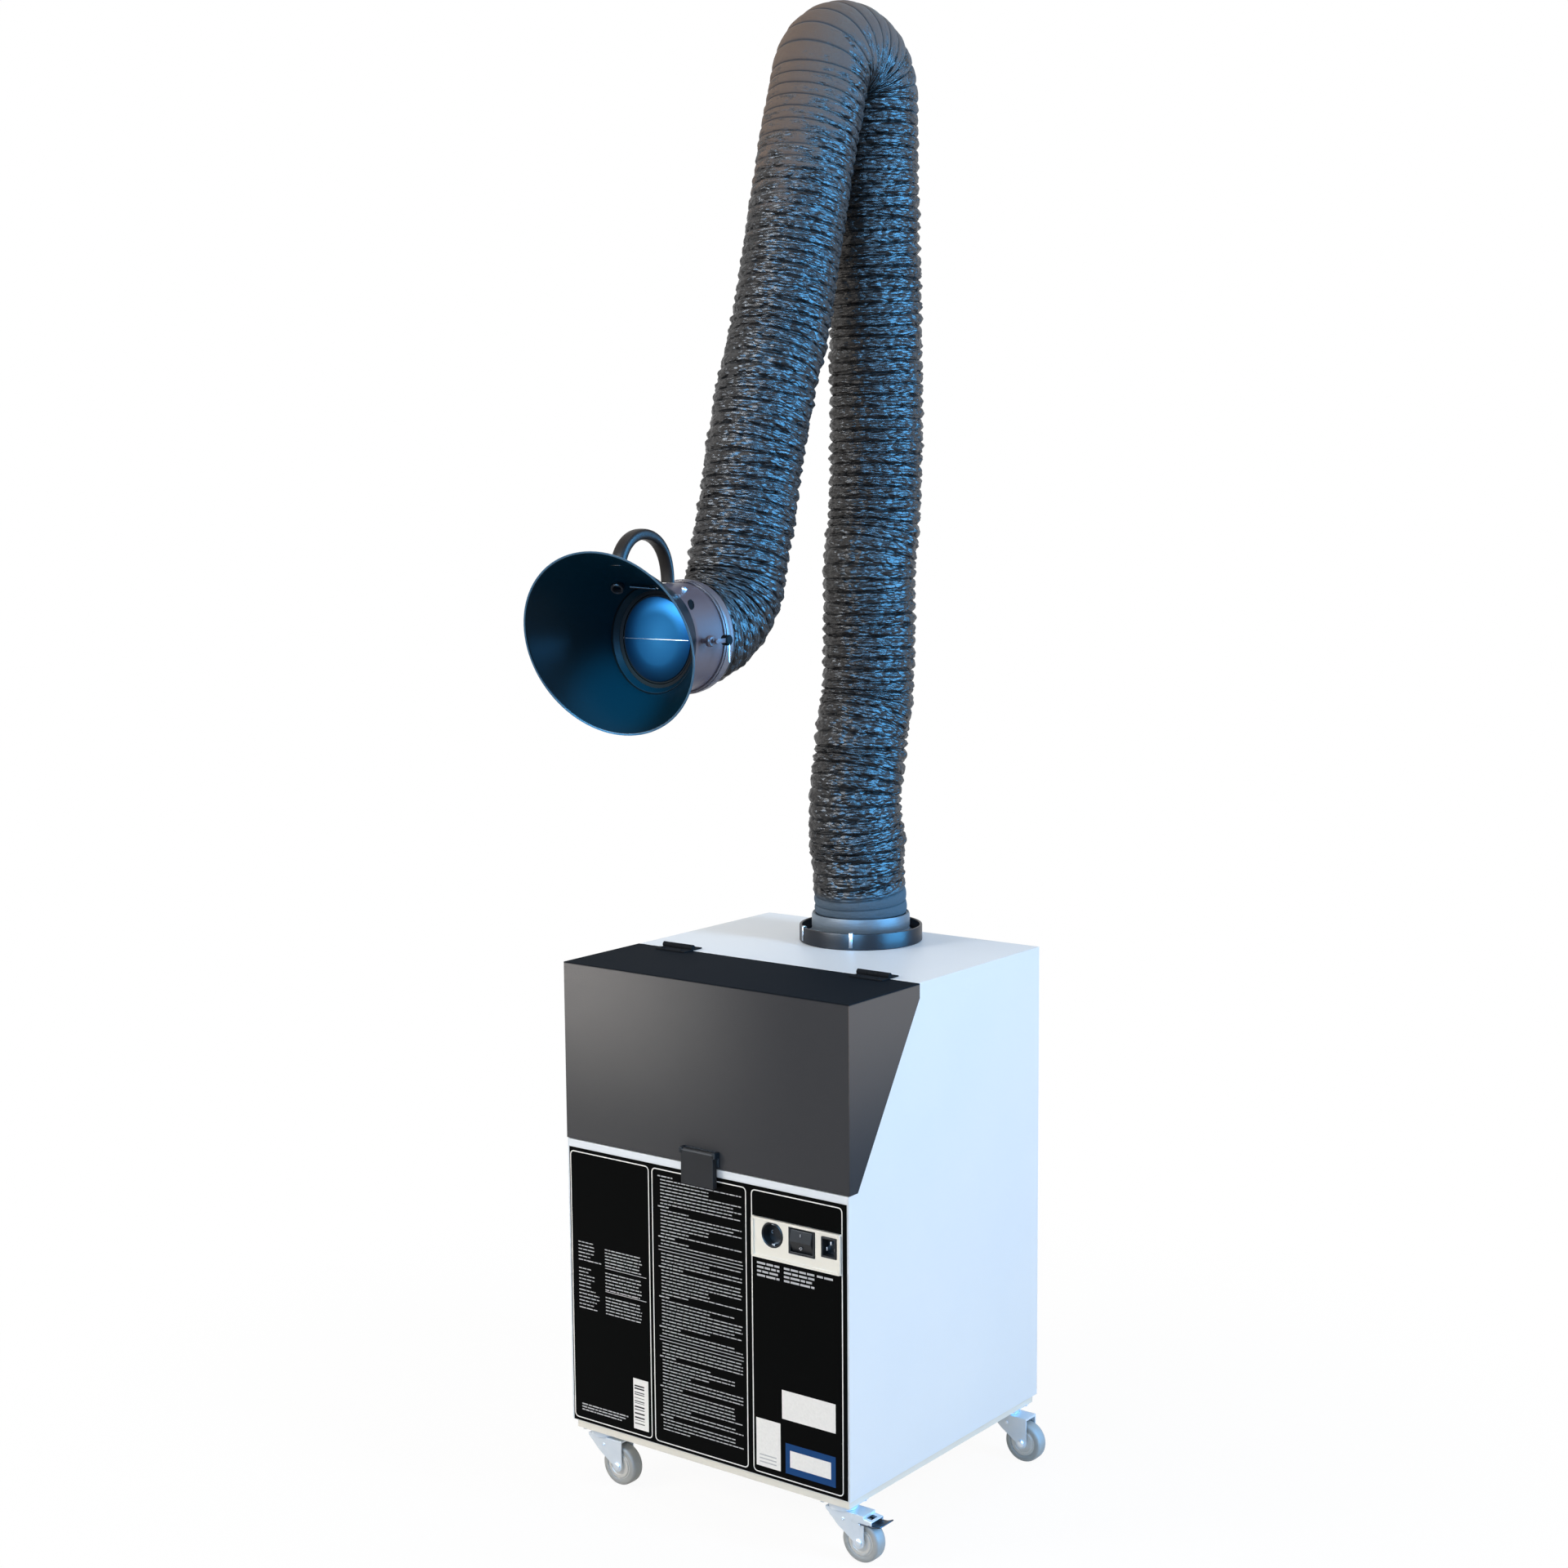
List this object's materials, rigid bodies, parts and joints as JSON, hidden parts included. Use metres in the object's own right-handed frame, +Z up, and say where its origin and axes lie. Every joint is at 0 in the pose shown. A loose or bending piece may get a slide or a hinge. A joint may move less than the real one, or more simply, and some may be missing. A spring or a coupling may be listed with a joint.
{
  "type": "fume extractor",
  "caption": "Mobile welding-fume extractor: sheet-steel filter cabinet on casters, a jointed arm inside a ribbed hose, and a funnel hood with a throttle disc.",
  "frame": {"origin": "middle of the object's box in plan, on the floor (z = 0 under the wheels)", "axes": "+Z up, the front panel faces -Y, +X is to the right when looking at the front"},
  "size_m": [0.6316, 0.84, 2.4941],
  "materials": {
    "black_plastic": "black moulded plastic",
    "black_powder_coat": "matte black powder coat",
    "coated_hose_fabric": "glossy coated fabric over a wire spiral",
    "cream_plastic": "cream satin plastic",
    "dark_hood_plastic": "very dark blue moulded hood",
    "filter_paper": "pleated filter paper",
    "galvanised_steel": "galvanised sheet",
    "grey_rubber": "grey-blue rubber",
    "grey_tread_rubber": "non-marking grey rubber",
    "motor_paint": "dark blue motor paint",
    "printed_foil": "black printed foil, satin",
    "turned_steel": "plain steel",
    "white_powder_coat": "pale blue-white powder coat",
    "zinc_plated_steel": "bright zinc plate"
  },
  "bodies": {
    "cabinet": {"cabinet_shell": "white_powder_coat", "back_panel": "white_powder_coat", "base_tray": "cream_plastic", "front_panel": "white_powder_coat", "label_foil": "printed_foil", "socket_plate": "cream_plastic", "service_socket": "black_plastic", "switch_frame": "black_plastic", "mains_inlet": "black_plastic", "control_box": "galvanised_steel", "latch_keeper": "zinc_plated_steel", "filter_shelf": "galvanised_steel", "main_filter": "filter_paper", "spark_mat": "galvanised_steel", "fan_scroll": "galvanised_steel", "motor": "motor_paint", "exhaust_grille": "black_powder_coat", "hinge_leaf_left": "black_powder_coat", "hinge_leaf_right": "black_powder_coat", "swivel_ring": "black_powder_coat", "caster_plate_front_left": "zinc_plated_steel", "caster_plate_front_right": "zinc_plated_steel", "caster_plate_rear_left": "zinc_plated_steel", "caster_plate_rear_right": "zinc_plated_steel"},
    "lid": {"lid": "black_powder_coat", "hinge_knuckle_left": "black_powder_coat", "hinge_knuckle_right": "black_powder_coat", "latch_base": "black_plastic"},
    "latch": {"latch_flap": "black_plastic"},
    "turntable": {"swivel_pipe": "grey_rubber", "hose_cuff": "grey_rubber", "shoulder_pin": "turned_steel", "hose_base": "coated_hose_fabric"},
    "lower_boom": {"lower_arm": "turned_steel", "elbow_pin": "turned_steel", "hose_lower": "coated_hose_fabric", "hose_elbow": "coated_hose_fabric"},
    "upper_boom": {"upper_arm": "turned_steel", "wrist_pin": "turned_steel", "hose_upper": "coated_hose_fabric", "hose_wrist": "coated_hose_fabric"},
    "hood_head": {"wrist_link": "turned_steel", "hood_collar": "grey_rubber"},
    "hood": {"hood": "dark_hood_plastic", "hood_handle": "black_plastic"},
    "damper": {"damper_disc": "galvanised_steel", "damper_lever": "black_plastic"},
    "fan": {"impeller": "motor_paint"},
    "rocker": {"switch_rocker": "black_plastic"},
    "pedal": {"brake_pedal": "black_plastic"},
    "fork_front_left": {"caster_fork_front_left": "zinc_plated_steel"},
    "wheel_front_left": {"caster_wheel_front_left": "grey_tread_rubber"},
    "fork_front_right": {"caster_fork_front_right": "zinc_plated_steel"},
    "wheel_front_right": {"caster_wheel_front_right": "grey_tread_rubber"},
    "fork_rear_left": {"caster_fork_rear_left": "zinc_plated_steel"},
    "wheel_rear_left": {"caster_wheel_rear_left": "grey_tread_rubber"},
    "fork_rear_right": {"caster_fork_rear_right": "zinc_plated_steel"},
    "wheel_rear_right": {"caster_wheel_rear_right": "grey_tread_rubber"}
  },
  "joints": [
    {"name": "lid_hinge", "type": "hinge", "parent": "cabinet", "child": "lid", "pos_m": [-0.0212, 0.03313, 0.9133], "axis": [-1, 0, 0], "range_deg": [0, 95]},
    {"name": "latch_flap", "type": "hinge", "parent": "lid", "child": "latch", "pos_m": [-0.0212, -0.17017, 0.629], "axis": [-1, 0, 0], "range_deg": [0, 70]},
    {"name": "arm_swivel", "type": "hinge", "parent": "cabinet", "child": "turntable", "pos_m": [-0.0212, 0.28563, 0.908], "axis": [0, 0, 1], "continuous": true},
    {"name": "shoulder", "type": "hinge", "parent": "turntable", "child": "lower_boom", "pos_m": [-0.0212, 0.28563, 0.983], "axis": [-1, 0, 0], "range_deg": [-55, 15], "deforming": ["hose_base"]},
    {"name": "elbow", "type": "hinge", "parent": "lower_boom", "child": "upper_boom", "pos_m": [-0.0212, 0.24963, 2.399], "axis": [-1, 0, 0], "range_deg": [0, 110], "deforming": ["hose_elbow"]},
    {"name": "wrist", "type": "hinge", "parent": "upper_boom", "child": "hood_head", "pos_m": [-0.0212, -0.07678, 1.4832], "axis": [1, 0, 0], "range_deg": [-30, 50], "deforming": ["hose_wrist"]},
    {"name": "hood_turn", "type": "hinge", "parent": "hood_head", "child": "hood", "pos_m": [-0.0212, -0.18065, 1.464], "axis": [0, -1, 0], "continuous": true},
    {"name": "damper", "type": "hinge", "parent": "hood", "child": "damper", "pos_m": [-0.0212, -0.24937, 1.464], "axis": [1, 0, 0], "range_deg": [0, 90]},
    {"name": "fan_spin", "type": "hinge", "parent": "cabinet", "child": "fan", "pos_m": [-0.0512, 0.13063, 0.4627], "axis": [0, 0, 1], "continuous": true},
    {"name": "switch_rock", "type": "hinge", "parent": "cabinet", "child": "rocker", "pos_m": [0.1823, -0.15967, 0.517], "axis": [-1, 0, 0], "range_deg": [0, 12]},
    {"name": "caster_swivel_front_left", "type": "hinge", "parent": "cabinet", "child": "fork_front_left", "pos_m": [-0.2742, -0.12437, 0.0809], "axis": [0, 0, 1], "continuous": true},
    {"name": "wheel_spin_front_left", "type": "hinge", "parent": "fork_front_left", "child": "wheel_front_left", "pos_m": [-0.2342, -0.12437, 0.035], "axis": [0, 1, 0], "continuous": true},
    {"name": "caster_swivel_front_right", "type": "hinge", "parent": "cabinet", "child": "fork_front_right", "pos_m": [0.2318, -0.12437, 0.0809], "axis": [0, 0, 1], "continuous": true},
    {"name": "wheel_spin_front_right", "type": "hinge", "parent": "fork_front_right", "child": "wheel_front_right", "pos_m": [0.2718, -0.12437, 0.035], "axis": [0, 1, 0], "continuous": true},
    {"name": "caster_swivel_rear_left", "type": "hinge", "parent": "cabinet", "child": "fork_rear_left", "pos_m": [-0.2742, 0.36563, 0.0809], "axis": [0, 0, 1], "continuous": true},
    {"name": "wheel_spin_rear_left", "type": "hinge", "parent": "fork_rear_left", "child": "wheel_rear_left", "pos_m": [-0.2342, 0.36563, 0.035], "axis": [0, 1, 0], "continuous": true},
    {"name": "caster_swivel_rear_right", "type": "hinge", "parent": "cabinet", "child": "fork_rear_right", "pos_m": [0.2318, 0.36563, 0.0809], "axis": [0, 0, 1], "continuous": true},
    {"name": "wheel_spin_rear_right", "type": "hinge", "parent": "fork_rear_right", "child": "wheel_rear_right", "pos_m": [0.2718, 0.36563, 0.035], "axis": [0, 1, 0], "continuous": true},
    {"name": "brake_pedal", "type": "hinge", "parent": "fork_front_right", "child": "pedal", "pos_m": [0.2748, -0.12437, 0.066], "axis": [0, 1, 0], "range_deg": [0, 12]}
  ]
}
